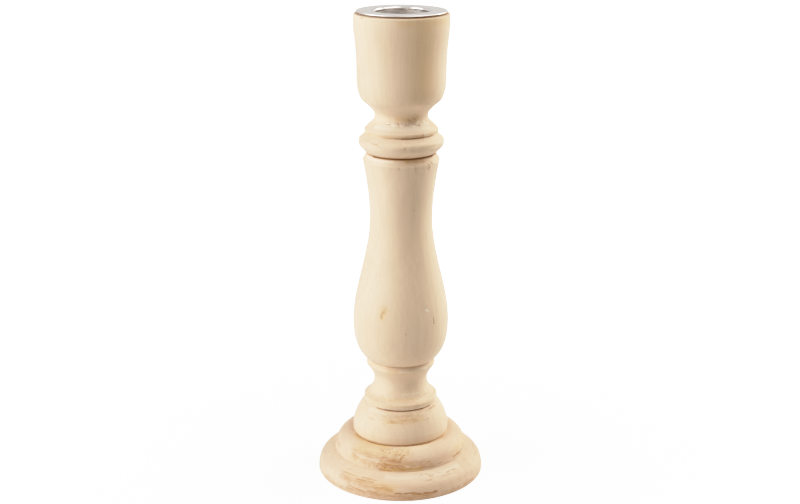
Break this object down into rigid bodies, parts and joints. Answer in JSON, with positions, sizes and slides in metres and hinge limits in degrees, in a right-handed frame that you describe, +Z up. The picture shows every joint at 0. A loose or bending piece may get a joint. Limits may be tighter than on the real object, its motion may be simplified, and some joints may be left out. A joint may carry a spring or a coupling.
{
  "type": "candlestick",
  "caption": "Turned wooden candlestick with a moulded round base, domed plinth, spool, vase-shaped column and bowl socket holding a lift-out metal cup for a dinner candle.",
  "frame": {"origin": "centre of the base's underside", "axes": "+Z up the column's turning axis, towards the candle; +X along the grain of the base disc"},
  "size_m": [0.0724, 0.0724, 0.2006],
  "materials": {
    "cup_metal": "satin, drawn from sheet, with fine turning marks",
    "turned_wood": "raw pale hardwood, lathe turned along the grain, unsealed",
    "base_wood": "raw pale hardwood, turned across the grain, unsealed",
    "dowel_wood": "raw beech, fluted",
    "screw_steel": "bright zinc plate"
  },
  "bodies": {
    "stand": {"candle_socket": "turned_wood", "upper_dowel": "dowel_wood", "baluster": "turned_wood", "spool": "turned_wood", "plinth": "turned_wood", "lower_dowel": "dowel_wood", "base": "base_wood", "base_screw": "screw_steel"},
    "cup": {"candle_cup": "cup_metal"}
  },
  "joints": [
    {"name": "cup_lift", "type": "slide", "parent": "stand", "child": "cup", "axis": [0, 0, 1], "range_m": [0, 0.03]}
  ]
}
